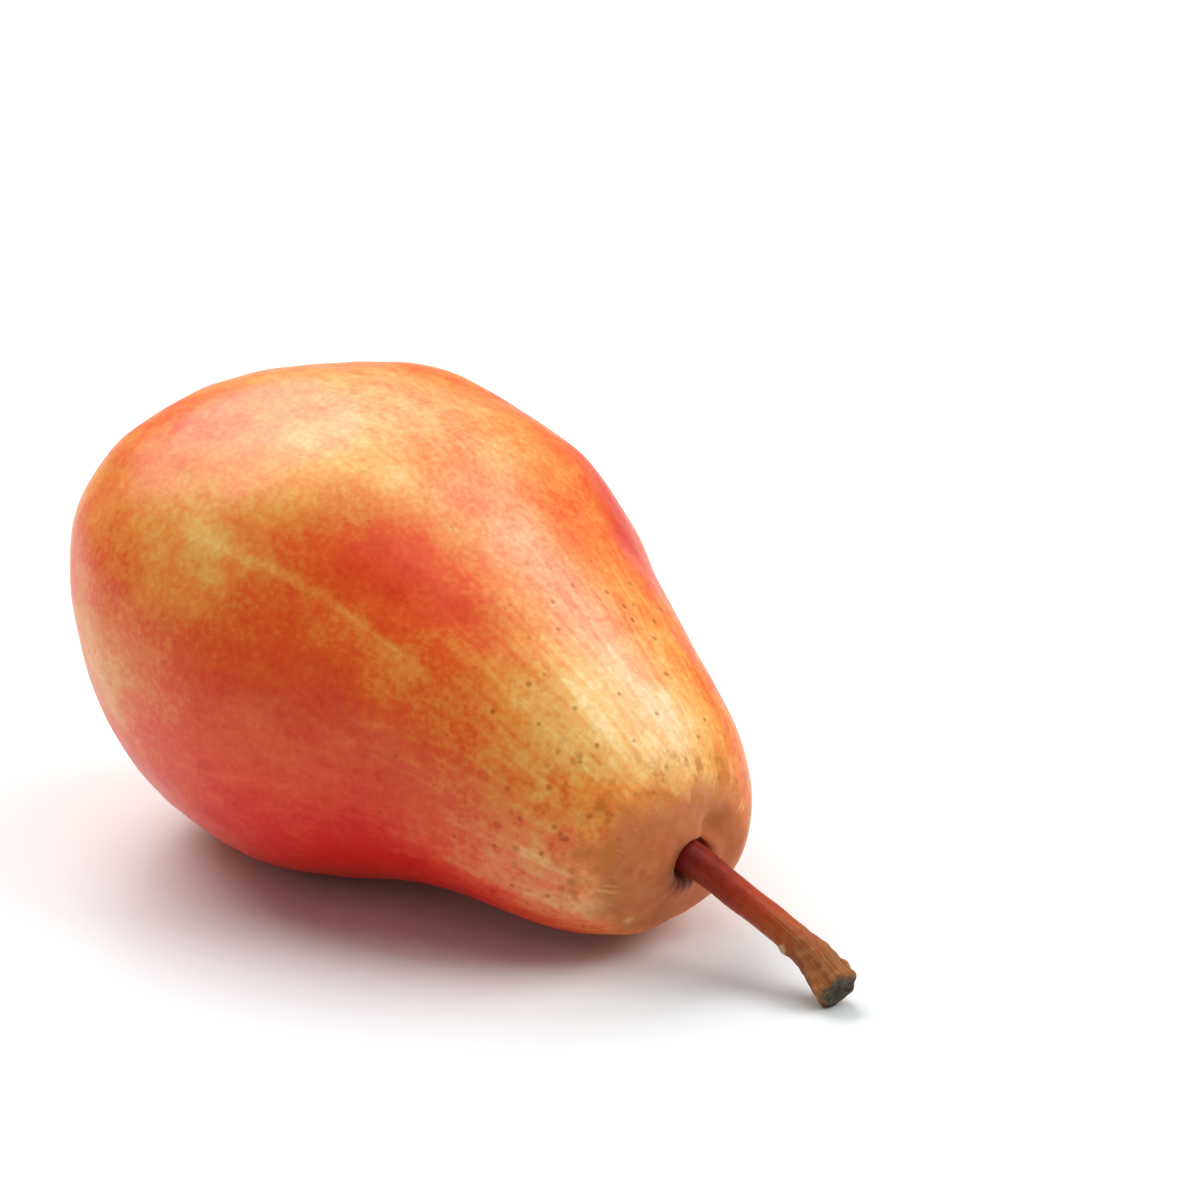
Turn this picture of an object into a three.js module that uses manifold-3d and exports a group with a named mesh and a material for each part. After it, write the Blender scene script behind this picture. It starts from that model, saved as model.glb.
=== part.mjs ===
// A whole pear, as picked, lying on its side with the tip of its stem on the surface.
// Millimetres, +Z up. +X runs along the fruit towards its stem.
import * as THREE from "three";
import { mergeVertices } from "three/addons/utils/BufferGeometryUtils.js";
import Module from "manifold-3d";

// Fruit: distances along its own axis, which starts just before the calyx end, and radii
const FRUIT_LENGTH = 95;
const BELLY_STATION = 33;
const BELLY_RADIUS = 33.2;
const BASE_DEPTH = 31.9;
const BASE_ROUNDNESS = 2.08;
const BASE_ANGLES = [22, 40, 58, 75];
const BASIN_DEPTH = 6.5;
const BASIN_FLOOR = BELLY_STATION - BASE_DEPTH + BASIN_DEPTH;
const NECK_PROFILE = {
  highBelly: [47.4, 32.0],
  waist: [61.8, 25.7],
  neck: [76.3, 19.7],
  shoulder: [87.1, 15.4],
  crown: [93.0, 9.8],
  crownRim: [94.0, 5.6],
  cavityLip: [94.5, 3.7],
  cavityMouth: [93.8, 2.75],
  cavityWall: [91.2, 2.5],
  cavityFloor: [89.8, 0],
};
const FRUIT_TILT = 8.8;
const NECK_BEND = { from: 0.48, sideways: 2.5, down: 10.1 };

// Gentle lobes round the fruit: how many, how high beside the radius, where the first one peaks
const BODY_LOBES = [
  { count: 2, height: 0.098, peak: 88 },
  { count: 3, height: 0.03, peak: -27.5 },
];
const BASE_LOBES = [
  { count: 2, height: 0.056, peak: -3 },
  { count: 3, height: 0.087, peak: 57.3 },
  { count: 5, height: 0.019, peak: 0 },
];
const BASE_LOBES_REACH = 0.55;

// Crown, the end face round the stem: it starts at this share of the length, carries a raised
// lobe and a crease beside the stem, and its cavity sits a little off the axis
const CROWN = { from: 0.86, fade: 0.06 };
const CROWN_LOBE = { height: 1.0, angle: 95, spread: 40, radius: 8, width: 3 };
const CROWN_CREASE = { height: -1.6, angle: 44, spread: 19, radius: 4.3, width: 2.8 };
const CAVITY_SHIFT = { side: 0.35, up: 0.5, reach: 6.5, fade: 3 };

// Stem: its centre line, its thickness and its woody, cut end; shares of its length from 0 to 1
const STEM_ROUTE = [
  [55.3, 2.1, 13.7],
  [60.7, 3.1, 11.8],
  [65.2, 3.6, 9.9],
  [71.6, 4.3, 7.3],
  [77.0, 4.5, 4.9],
  [82.3, 3.7, 2.2],
];
const STEM_RADIUS = 1.92;
const STEM_ROOT = { radius: 2.25, reach: 0.35 };
const STEM_FLARE = { radius: 2.85, from: 0.72, curve: 1.2 };
const STEM_EDGE = { from: 0.965, remains: 0.6 };
const STEM_SCAR = { along: 0.7, angle: 112, height: 0.5, length: 0.03, spread: 26 };
const STEM_RIDGES = { count: 5, height: 0.09, peak: 20, least: 0.35, from: 0.6, fade: 0.3 };
const STEM_SIDES = 20;
const STEM_STEPS = 44;

// Calyx: dried sepals round a small tuft of stamens, in the basin at the other end
const SEPALS = 5;
const SEPAL_UNEVENNESS = 0.15;
const SEPAL_LENGTH = 5.6;
const SEPAL_WIDTH = 3.1;
const SEPAL_THICKNESS = 0.7;
const SEPAL_TAPER = { share: 0.72, curve: 1.6 };
const SEPAL_ROOT = { radius: 1.4, depth: 1.0 };
const SEPAL_LEAN = { root: 4, tip: 36 };
const SEPAL_CUP = 0.5;
const SEPAL_FACES = { across: 4, along: 9 };
const CALYX_CORE_RADIUS = 2.7;
const CALYX_CORE_DEPTH = 2.4;
const CALYX_CORE_HEIGHT = 1.1;
// Outline of the core: shares of its radius and of its depth, then of its height
const CORE_BELOW = [[0, 1], [0.9, 1], [1, 0.6]];
const CORE_ABOVE = [[1, 0.1], [0.86, 0.8], [0.5, 1], [0, 0.55]];
const CALYX_SIDES = 20;
const STAMENS = 11;
const STAMEN_LENGTH = 3.0;
const STAMEN_RADIUS = 0.24;
const STAMEN_TIP_SHARE = 0.8;
const STAMEN_SIDES = 5;
const STAMEN_RING_SHARE = 0.45;
const STAMEN_ROOT_HEIGHT = 0.35;
const STAMEN_LEAN = { middle: 9, spread: 8 };

const GROWTH_GAP = 0.35;
const REST_FLAT_DEPTH = 0.5;
const FRUIT_SIDES = 56;
const FRUIT_ROWS = 70;
const GROUND_SIZE = 4 * FRUIT_LENGTH;
const MERGE_DISTANCE = 1e-4;

const wasm = await Module();
wasm.setup();

// Closed three.js geometry to solid, and back
function solidOf(geometry) {
  const bare = geometry.clone();
  bare.deleteAttribute("normal");
  bare.deleteAttribute("uv");
  const merged = mergeVertices(bare, MERGE_DISTANCE);
  return new wasm.Manifold(new wasm.Mesh({
    numProp: 3,
    vertProperties: new Float32Array(merged.attributes.position.array),
    triVerts: new Uint32Array(merged.index.array),
  }));
}

function geometryOf(solid) {
  const mesh = solid.getMesh();
  const geometry = new THREE.BufferGeometry();
  geometry.setAttribute("position", new THREE.BufferAttribute(mesh.vertProperties, 3));
  geometry.setIndex(new THREE.BufferAttribute(mesh.triVerts, 1));
  geometry.computeVertexNormals();
  return geometry;
}

// Moves every vertex of a geometry by a rule
function reshape(geometry, rule) {
  const position = geometry.attributes.position;
  const point = new THREE.Vector3();
  for (let i = 0; i < position.count; i += 1) {
    point.fromBufferAttribute(position, i);
    const moved = rule(point);
    position.setXYZ(i, moved.x, moved.y, moved.z);
  }
  return geometry;
}

const degrees = THREE.MathUtils.degToRad;
const fade = (value) => THREE.MathUtils.smoothstep(value, 0, 1);
const bell = (distance, width) => Math.exp(-((distance / width) ** 2));

// Signed angle from one direction to another, in degrees
function angleBetween(angle, from) {
  return ((((angle - from) % 360) + 540) % 360) - 180;
}

// Natural cubic spline: a smooth curve through values at rising knots
function naturalSpline(knots, values) {
  const last = knots.length - 1;
  const bend = new Array(last + 1).fill(0);
  const carry = new Array(last + 1).fill(0);
  for (let i = 1; i < last; i += 1) {
    const before = knots[i] - knots[i - 1];
    const after = knots[i + 1] - knots[i];
    const slopes = (values[i + 1] - values[i]) / after - (values[i] - values[i - 1]) / before;
    const pivot = 2 * (before + after) - before * carry[i - 1];
    carry[i] = after / pivot;
    bend[i] = (6 * slopes - before * bend[i - 1]) / pivot;
  }
  for (let i = last - 1; i > 0; i -= 1) {
    bend[i] -= carry[i] * bend[i + 1];
  }
  return (at) => {
    let i = 0;
    while (i < last - 1 && at > knots[i + 1]) {
      i += 1;
    }
    const step = knots[i + 1] - knots[i];
    const right = (at - knots[i]) / step;
    const left = 1 - right;
    const sag = ((left ** 3 - left) * bend[i] + (right ** 3 - right) * bend[i + 1]) * step ** 2 / 6;
    return left * values[i] + right * values[i + 1] + sag;
  };
}

// The rounded base, as a superellipse from the basin up to the belly
function basePoints() {
  const power = 2 / BASE_ROUNDNESS;
  return BASE_ANGLES.map((angle) => [
    BELLY_STATION - BASE_DEPTH * Math.cos(degrees(angle)) ** power,
    BELLY_RADIUS * Math.sin(degrees(angle)) ** power,
  ]);
}

// Smooth outline of the fruit, from the cavity floor back round to the basin floor
function fruitOutline() {
  const belly = [BELLY_STATION, BELLY_RADIUS];
  const points = [[BASIN_FLOOR, 0], ...basePoints(), belly, ...Object.values(NECK_PROFILE)];
  const knots = [0];
  for (let i = 1; i < points.length; i += 1) {
    const chord = Math.hypot(points[i][0] - points[i - 1][0], points[i][1] - points[i - 1][1]);
    knots.push(knots[i - 1] + Math.sqrt(chord));
  }
  const station = naturalSpline(knots, points.map((point) => point[0]));
  const radius = naturalSpline(knots, points.map((point) => point[1]));
  const outline = [];
  for (let i = 0; i <= FRUIT_ROWS; i += 1) {
    const at = (knots[knots.length - 1] * i) / FRUIT_ROWS;
    const onAxis = i === 0 || i === FRUIT_ROWS;
    outline.unshift(new THREE.Vector2(onAxis ? 0 : radius(at), station(at)));
  }
  return outline;
}

function lobes(list, angle) {
  const heights = list.map((lobe) => lobe.height * Math.cos(lobe.count * degrees(angle - lobe.peak)));
  return heights.reduce((sum, height) => sum + height, 0);
}

// How far a station belongs to the end face, from 0 to 1
function nearCrown(station) {
  return fade((station / FRUIT_LENGTH - CROWN.from) / CROWN.fade);
}

// Rise or fall of the end face round the stem
function crownRelief(station, radius, angle) {
  const rises = [CROWN_LOBE, CROWN_CREASE].map((form) => {
    const around = bell(angleBetween(angle, form.angle), form.spread);
    return form.height * around * bell(radius - form.radius, form.width);
  });
  return nearCrown(station) * (rises[0] + rises[1]);
}

// Place of the axis at a station: the neck sags and turns a little aside
function axisOffset(station) {
  const beyond = Math.max(station / FRUIT_LENGTH - NECK_BEND.from, 0) / (1 - NECK_BEND.from);
  return { side: NECK_BEND.sideways * beyond ** 2, up: -NECK_BEND.down * beyond ** 2 };
}

// From the fruit's own axis to the lying fruit, before it is lifted onto the surface
function layDown(station, side, up) {
  const along = station - BELLY_STATION;
  const tilt = degrees(FRUIT_TILT);
  return new THREE.Vector3(
    along * Math.cos(tilt) + up * Math.sin(tilt),
    side,
    up * Math.cos(tilt) - along * Math.sin(tilt),
  );
}

// A point of the turned outline, as it lies on the real fruit
function skinPoint(turned) {
  const station = turned.y;
  const radius = Math.hypot(turned.x, turned.z);
  const angle = THREE.MathUtils.radToDeg(Math.atan2(turned.x, turned.z));
  const nearBase = fade(1 - station / (BASE_LOBES_REACH * FRUIT_LENGTH));
  const swell = 1 + lobes(BODY_LOBES, angle) + nearBase * lobes(BASE_LOBES, angle);
  const offset = axisOffset(station);
  const inCavity = nearCrown(station) * fade((CAVITY_SHIFT.reach - radius) / CAVITY_SHIFT.fade);
  return layDown(
    station + crownRelief(station, radius, angle),
    turned.x * swell + offset.side + inCavity * CAVITY_SHIFT.side,
    turned.z * swell + offset.up + inCavity * CAVITY_SHIFT.up,
  );
}

// The stem's radius at a place along it and an angle round it
function stemRadius(along, angle) {
  const root = (STEM_ROOT.radius - STEM_RADIUS) * fade(1 - along / STEM_ROOT.reach);
  const pastWaist = Math.max(along - STEM_FLARE.from, 0) / (1 - STEM_FLARE.from);
  const flare = (STEM_FLARE.radius - STEM_RADIUS) * pastWaist ** STEM_FLARE.curve;
  const woody = fade((along - STEM_RIDGES.from) / STEM_RIDGES.fade);
  const rough = STEM_RIDGES.least + (1 - STEM_RIDGES.least) * woody;
  const ridges = STEM_RIDGES.height * Math.cos(STEM_RIDGES.count * degrees(angle - STEM_RIDGES.peak));
  const acrossScar = bell(angleBetween(angle, STEM_SCAR.angle), STEM_SCAR.spread);
  const scar = STEM_SCAR.height * bell(along - STEM_SCAR.along, STEM_SCAR.length) * acrossScar;
  const bark = STEM_RADIUS + root + flare + ridges * rough * (1 + flare) + scar;
  const pastEdge = Math.max(along - STEM_EDGE.from, 0) / (1 - STEM_EDGE.from);
  return bark * (1 - (1 - STEM_EDGE.remains) * (1 - Math.sqrt(1 - pastEdge ** 2)));
}

// A round rod turned from the stem's length, then bent along its route; grown adds to the radius
function stemGeometry(grown) {
  const routePoints = STEM_ROUTE.map((point) => new THREE.Vector3(...point));
  const route = new THREE.CatmullRomCurve3(routePoints, false, "centripetal");
  const outline = [new THREE.Vector2(0, 0)];
  for (let i = 0; i <= STEM_STEPS; i += 1) {
    outline.push(new THREE.Vector2(1, i / STEM_STEPS));
  }
  outline.push(new THREE.Vector2(0, 1));
  const up = new THREE.Vector3(0, 0, 1);
  const rod = new THREE.LatheGeometry(outline, STEM_SIDES);
  return reshape(rod, (point) => {
    const along = point.y;
    const angle = THREE.MathUtils.radToDeg(Math.atan2(point.x, point.z));
    const onAxis = Math.hypot(point.x, point.z) < 0.5;
    const radius = onAxis ? 0 : stemRadius(along, angle) + grown;
    const heading = route.getTangentAt(along);
    const across = new THREE.Vector3().crossVectors(heading, up).normalize();
    const lift = new THREE.Vector3().crossVectors(across, heading);
    return route.getPointAt(along)
      .addScaledVector(across, radius * Math.sin(degrees(angle)))
      .addScaledVector(lift, radius * Math.cos(degrees(angle)));
  });
}

// One dried sepal: a tapered strip that stands up from the core and leans outwards
function sepalGeometry(turn) {
  const strip = new THREE.BoxGeometry(1, 1, 1, SEPAL_FACES.across, 1, SEPAL_FACES.along);
  return reshape(strip, (point) => {
    const along = point.z + 0.5;
    const aside = -point.x * SEPAL_WIDTH * (1 - SEPAL_TAPER.share * along ** SEPAL_TAPER.curve);
    const lean = degrees(SEPAL_LEAN.root + (SEPAL_LEAN.tip - SEPAL_LEAN.root) * along);
    const cup = SEPAL_CUP * (2 * point.x) ** 2 * (1 - along);
    const layer = point.y * SEPAL_THICKNESS;
    const out = SEPAL_ROOT.radius + SEPAL_LENGTH * along * Math.sin(lean) - cup + layer * Math.cos(lean);
    const rise = SEPAL_LENGTH * along * Math.cos(lean) - SEPAL_ROOT.depth - layer * Math.sin(lean);
    return new THREE.Vector3(
      -rise,
      out * Math.sin(turn) + aside * Math.cos(turn),
      out * Math.cos(turn) - aside * Math.sin(turn),
    );
  });
}

// A dried thread that stands on the core and leans outwards
function stamenGeometry(turn, lean) {
  const tip = STAMEN_RADIUS * STAMEN_TIP_SHARE;
  const thread = new THREE.CylinderGeometry(tip, STAMEN_RADIUS, STAMEN_LENGTH, STAMEN_SIDES, 1);
  thread.translate(0, STAMEN_LENGTH / 2, 0);
  thread.rotateZ(Math.PI / 2 + lean);
  thread.translate(-STAMEN_ROOT_HEIGHT, CALYX_CORE_RADIUS * STAMEN_RING_SHARE, 0);
  thread.rotateX(turn);
  return thread;
}

// The dry disc in the middle, sunk into the flesh
function coreGeometry() {
  const outline = [
    ...CORE_BELOW.map(([across, down]) => [across, -down * CALYX_CORE_DEPTH]),
    ...CORE_ABOVE.map(([across, rise]) => [across, rise * CALYX_CORE_HEIGHT]),
  ];
  const points = outline.map(([across, rise]) => new THREE.Vector2(across * CALYX_CORE_RADIUS, rise));
  return new THREE.LatheGeometry(points, CALYX_SIDES).rotateZ(Math.PI / 2);
}

// The round pocket in the flesh that the core grows from
function pocketGeometry() {
  const radius = CALYX_CORE_RADIUS + GROWTH_GAP;
  const depth = CALYX_CORE_DEPTH + GROWTH_GAP;
  const pocket = new THREE.CylinderGeometry(radius, radius, depth + BASIN_DEPTH, CALYX_SIDES);
  pocket.translate(0, (BASIN_DEPTH - depth) / 2, 0);
  return pocket.rotateZ(Math.PI / 2);
}

// Calyx pieces are made round the X axis with the basin floor at 0, then laid in the basin
function intoBasin(geometry) {
  return reshape(geometry, (point) => layDown(BASIN_FLOOR + point.x, point.y, point.z));
}

function calyxSolid() {
  let calyx = solidOf(intoBasin(coreGeometry()));
  for (let i = 0; i < SEPALS; i += 1) {
    const turn = (2 * Math.PI * (i + SEPAL_UNEVENNESS * Math.sin(3 * i))) / SEPALS;
    calyx = calyx.add(solidOf(intoBasin(sepalGeometry(turn))));
  }
  for (let i = 0; i < STAMENS; i += 1) {
    const turn = (2 * Math.PI * i) / STAMENS;
    const lean = degrees(STAMEN_LEAN.middle + STAMEN_LEAN.spread * Math.sin(5 * i));
    calyx = calyx.add(solidOf(intoBasin(stamenGeometry(turn, lean))));
  }
  return calyx;
}

// Everything below the surface is cut away, which leaves the flat spot that the fruit rests on
function aboveSurface(solid, height) {
  const ground = new THREE.BoxGeometry(GROUND_SIZE, GROUND_SIZE, GROUND_SIZE);
  ground.translate(0, 0, height - GROUND_SIZE / 2);
  return solid.subtract(solidOf(ground));
}

function lowestPoint(geometry) {
  geometry.computeBoundingBox();
  return geometry.boundingBox.min.z;
}

function material(name, colour, roughness) {
  return new THREE.MeshStandardMaterial({ name, color: new THREE.Color(colour), roughness, metalness: 0 });
}

function part(name, solid, finish) {
  const mesh = new THREE.Mesh(geometryOf(solid), finish);
  mesh.name = name;
  return mesh;
}

// Assembly: the stem's route is given above the surface, the fruit is lifted to it
const skin = reshape(new THREE.LatheGeometry(fruitOutline(), FRUIT_SIDES), skinPoint);
const surfaceHeight = lowestPoint(skin) + REST_FLAT_DEPTH;
const toRoute = new THREE.Matrix4().makeTranslation(0, 0, surfaceHeight);
const stem = aboveSurface(solidOf(stemGeometry(0).applyMatrix4(toRoute)), surfaceHeight);
const stemRoom = solidOf(stemGeometry(GROWTH_GAP).applyMatrix4(toRoute));
const calyxRoom = solidOf(intoBasin(pocketGeometry()));
const fruit = aboveSurface(solidOf(skin), surfaceHeight).subtract(stemRoom).subtract(calyxRoom);

const pear = new THREE.Group();
pear.add(part("fruit", fruit, material("skin", "#d8703a", 0.38)));
pear.add(part("stem", stem, material("stem", "#8a3a1c", 0.42)));
pear.add(part("calyx", calyxSolid(), material("calyx", "#4a3626", 0.85)));

// The frame's origin is the bottom centre of the whole pear's box
const box = new THREE.Box3().setFromObject(pear);
const centre = box.getCenter(new THREE.Vector3());
pear.position.set(-centre.x, -centre.y, -surfaceHeight);

export default pear;
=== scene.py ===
import math

import bpy
import numpy as np
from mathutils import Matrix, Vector


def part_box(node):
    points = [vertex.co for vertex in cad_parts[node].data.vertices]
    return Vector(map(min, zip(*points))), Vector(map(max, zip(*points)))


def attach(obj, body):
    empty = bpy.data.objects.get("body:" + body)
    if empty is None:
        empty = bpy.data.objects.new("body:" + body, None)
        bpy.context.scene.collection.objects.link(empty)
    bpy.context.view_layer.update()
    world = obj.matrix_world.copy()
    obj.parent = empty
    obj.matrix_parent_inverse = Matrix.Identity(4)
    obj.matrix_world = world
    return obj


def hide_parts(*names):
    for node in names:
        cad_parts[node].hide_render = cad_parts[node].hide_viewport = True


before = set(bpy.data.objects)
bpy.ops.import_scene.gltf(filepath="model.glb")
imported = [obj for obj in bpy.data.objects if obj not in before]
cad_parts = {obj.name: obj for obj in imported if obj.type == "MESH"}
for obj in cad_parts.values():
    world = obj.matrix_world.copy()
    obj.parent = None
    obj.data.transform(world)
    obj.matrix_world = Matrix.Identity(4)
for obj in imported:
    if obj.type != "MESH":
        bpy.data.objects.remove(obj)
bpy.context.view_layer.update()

# Sizes are in millimetres until a mesh is made; angles are in degrees, unless a line says radians
MM = 0.001
SEED = 20

# Random ripples: how many waves they add up, and how long each is beside the bumps' size
RIPPLE_WAVES = 24
RIPPLE_PITCH = (1.4, 2.6)

# Fruit: the same driving dimensions as the solid, as places along its own axis and radii
FRUIT_LENGTH = 95
BELLY_STATION = 33
BELLY_RADIUS = 33.2
BASE_DEPTH = 31.9
BASE_ROUNDNESS = 2.08
BASE_ANGLES = (22, 40, 58, 75)
BASIN_DEPTH = 6.5
BASIN_FLOOR = BELLY_STATION - BASE_DEPTH + BASIN_DEPTH
NECK_PROFILE = {
    "high_belly": (47.4, 32.0),
    "waist": (61.8, 25.7),
    "neck": (76.3, 19.7),
    "shoulder": (87.1, 15.4),
    "crown": (93.0, 9.8),
    "crown_rim": (94.0, 5.6),
    "cavity_lip": (94.5, 3.7),
    "cavity_mouth": (93.8, 2.75),
    "cavity_wall": (91.2, 2.5),
    "cavity_floor": (89.8, 0),
}
FRUIT_TILT = 8.8
NECK_BEND_FROM = 0.48
NECK_BEND_SIDEWAYS = 2.5
NECK_BEND_DOWN = 10.1
# Lobes round the fruit: how many, how high beside the radius, where the first one peaks
BODY_LOBES = ((2, 0.098, 88), (3, 0.03, -27.5))
BASE_LOBES = ((2, 0.056, -3), (3, 0.087, 57.3), (5, 0.019, 0))
BASE_LOBES_REACH = 0.55
# The end face round the stem: it starts at this share of the length, and carries a raised lobe,
# a crease beside the stem and fine wrinkles in its cavity
CROWN_FROM = 0.86
CROWN_FADE = 0.06
CROWN_LOBE = {"height": 1.0, "angle": 95, "spread": 40, "radius": 8, "width": 3}
CROWN_CREASE = {"height": -1.6, "angle": 44, "spread": 19, "radius": 4.3, "width": 2.8}
CAVITY_WRINKLES = {"height": 0.11, "angle": 215, "spread": 60, "radius": 3.8, "width": 1.5}
CAVITY_WRINKLE_COUNT = 17
CAVITY_SHIFT = {"side": 0.35, "up": 0.5, "reach": 6.5, "fade": 3}
BASIN_FURROWS = {"count": 5, "height": 0.35, "peak": 36, "radius": 6.5, "width": 3}
# The slight unevenness of a grown form, coarse then fine: its height and the size of its bumps
SKIN_UNEVENNESS = ((0.16, 11), (0.05, 4))
REST_FLAT_DEPTH = 0.5
FRUIT_ROWS = 300
FRUIT_COLUMNS = 320

# Stem: its centre line above the surface, its thickness and its woody, cut end
STEM_ROUTE = (
    (55.3, 2.1, 13.7),
    (60.7, 3.1, 11.8),
    (65.2, 3.6, 9.9),
    (71.6, 4.3, 7.3),
    (77.0, 4.5, 4.9),
    (82.3, 3.7, 2.2),
)
STEM_RADIUS = 1.92
STEM_ROOT = {"radius": 2.25, "reach": 0.35}
STEM_FLARE = {"radius": 2.85, "from": 0.72, "curve": 1.2}
STEM_EDGE = {"from": 0.965, "remains": 0.6}
STEM_SCAR = {"along": 0.7, "angle": 112, "height": 0.5, "length": 0.03, "spread": 26}
STEM_RIDGES = {"count": 5, "height": 0.09, "peak": 20, "least": 0.35, "from": 0.6, "fade": 0.3}
# Bark, as heights and sizes of its bumps: knobs near the cut end, and low swells all along
BARK_KNOBS = ((0.10, 2.2), (0.06, 1.0))
BARK_SWELL = (0.04, 3)
STEM_ROUTE_POINTS = 400
STEM_HEADING_STEP = 1e-3
STEM_ROWS = 260
STEM_COLUMNS = 72
STEM_FACE_RINGS = 10

# Calyx: dried sepals round a tuft of stamens; a pair of numbers is the range of a random draw.
# The stamens' lean, and where the waves of wrinkles and furrows start, are in radians
SEPALS = 5
SEPAL_UNEVENNESS = 0.15
SEPAL_LENGTH = 5.6
SEPAL_WIDTH = 3.1
SEPAL_THICKNESS = 0.5
SEPAL_TIP_THINNING = 0.5
SEPAL_TAPER = {"share": 0.72, "curve": 1.6}
SEPAL_ROOT = {"radius": 1.4, "depth": 1.0}
SEPAL_LEAN = {"root": 4, "tip": 36, "more": (-8, 14)}
SEPAL_CUP = 0.5
SEPAL_CURL = (0.1, 0.5)
SEPAL_WRINKLES = {"height": 0.12, "across": 7, "start": (0, 6)}
CALYX_RADIUS = 2.7
CALYX_HEIGHT = 1.1
STAMENS = 11
STAMEN_LENGTH = 3.0
STAMEN_LENGTH_SHARE = (0.75, 1.0)
STAMEN_RADIUS = 0.24
STAMEN_TAPER = 0.4
STAMEN_KNOB = {"height": 0.16, "along": 0.93, "length": 0.07}
STAMEN_LEAN = (0.05, 0.35)
STAMEN_BEND = 0.15
STAMEN_SWAY = 0.3
STAMEN_RING_SHARE = 0.45
STAMEN_TURN = (-0.3, 0.3)
STAMEN_DEPTH_SHARE = 0.3
SEPAL_ROWS = 26
SEPAL_COLUMNS = 28
STAMEN_ROWS = 16
STAMEN_COLUMNS = 10
# The core's outline as height above the basin floor and radius, from its middle to underneath
CORE_PROFILE = ((0.6, 0), (0.7, 0.9), (1.1, 1.4), (0.9, 2.3), (0.1, 2.7), (-0.8, 2.6), (-1.2, 0))
CORE_PROFILE_POINTS = 200
CORE_FURROWS = {"count": 10, "height": 0.05, "start": 1}
CORE_ROUGHNESS = {"height": 0.08, "size": 0.8}
CORE_ROWS = 30
CORE_COLUMNS = 60

# Camera: its place and what it looks at in metres, its lens and its sensor in millimetres
CAMERA_PLACE = (0.39599, -0.37784, 0.23582)
CAMERA_TARGET = (-0.00210, 0.02173, 0.03120)
CAMERA_LENS = 142.92
CAMERA_SENSOR = 36

# Softboxes round the pear: angle above the surface, turn clockwise from straight away from
# the camera, width and height in metres, power in watts; their distance is in metres too
SOFTBOXES = {
    "right": (41, 87, 1.0, 0.75, 10.6),
    "left_back": (50, 322, 1.3, 0.8, 17.3),
    "overhead": (80, 120, 0.9, 0.9, 3.8),
}
SOFTBOX_DISTANCE = 1.3
SOFTBOX_TARGET = (0, 0, 0.03)
# The heading away from the camera that the lights are turned from, counted round from +X
AWAY_FROM_CAMERA = 135
WORLD_STRENGTH = 0.24

FLOOR_HALF_SIZE = 3000
FLOOR_COLOUR = "#eff4f5"
FLOOR_ROUGHNESS = 0.5


def fade(value):
    """A soft step from 0 to 1."""
    value = np.clip(value, 0, 1)
    return value * value * (3 - 2 * value)


def bell(distance, width):
    """1 in the middle, and less with the distance from it."""
    return np.exp(-((distance / width) ** 2))


def angle_between(angle, other):
    """The signed angle from the other one, within half a turn."""
    return (angle - other + 180) % 360 - 180


def natural_spline(knots, values, at):
    """A natural cubic spline through the values at rising knots, read at other places."""
    steps = np.diff(knots)
    slopes = np.diff(values, axis=0) / steps[:, None]
    system = np.eye(len(knots))
    right = np.zeros_like(values, float)
    for i in range(1, len(knots) - 1):
        system[i, i - 1:i + 2] = steps[i - 1], 2 * (steps[i - 1] + steps[i]), steps[i]
        right[i] = 6 * (slopes[i] - slopes[i - 1])
    bend = np.linalg.solve(system, right)
    i = np.clip(np.searchsorted(knots, at) - 1, 0, len(steps) - 1)
    step = steps[i][:, None]
    after = (at - knots[i])[:, None] / step
    before = 1 - after
    sag = ((before**3 - before) * bend[i] + (after**3 - after) * bend[i + 1]) * step**2 / 6
    return before * values[i] + after * values[i + 1] + sag


def smooth_curve(points, count):
    """A number of points on a smooth curve through the few given."""
    points = np.array(points, float)
    chords = np.linalg.norm(np.diff(points, axis=0), axis=1)
    knots = np.concatenate([[0], np.cumsum(np.sqrt(chords))])
    return natural_spline(knots, points, np.linspace(0, knots[-1], count))


def ripple(points, size, seed):
    """A smooth random field round 0, mostly within 2 of it, with bumps of about the given size."""
    draw = np.random.default_rng(seed)
    heading = draw.normal(size=(RIPPLE_WAVES, 3))
    heading /= np.linalg.norm(heading, axis=1, keepdims=True)
    pitch = draw.uniform(*RIPPLE_PITCH, RIPPLE_WAVES) * size
    phase = draw.uniform(0, 2 * math.pi, RIPPLE_WAVES)
    waves = np.sin(2 * math.pi * (points @ heading.T) / pitch + phase)
    return waves.sum(1) / math.sqrt(RIPPLE_WAVES / 2)


def ripples(points, layers, seed):
    """Ripples on top of each other, from pairs of a height and a size."""
    return sum(height * ripple(points, size, seed + i) for i, (height, size) in enumerate(layers))


def spin_faces(rows, columns):
    """Faces of a closed form spun from rows of vertices between two poles."""
    faces = []
    last = rows * columns + 1
    for column in range(columns):
        beside = (column + 1) % columns
        faces.append((0, 1 + beside, 1 + column))
        for row in range(rows - 1):
            here = 1 + row * columns
            beyond = here + columns
            faces.append((here + column, here + beside, beyond + beside, beyond + column))
        here = 1 + (rows - 1) * columns
        faces.append((here + column, here + beside, last))
    return faces


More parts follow.
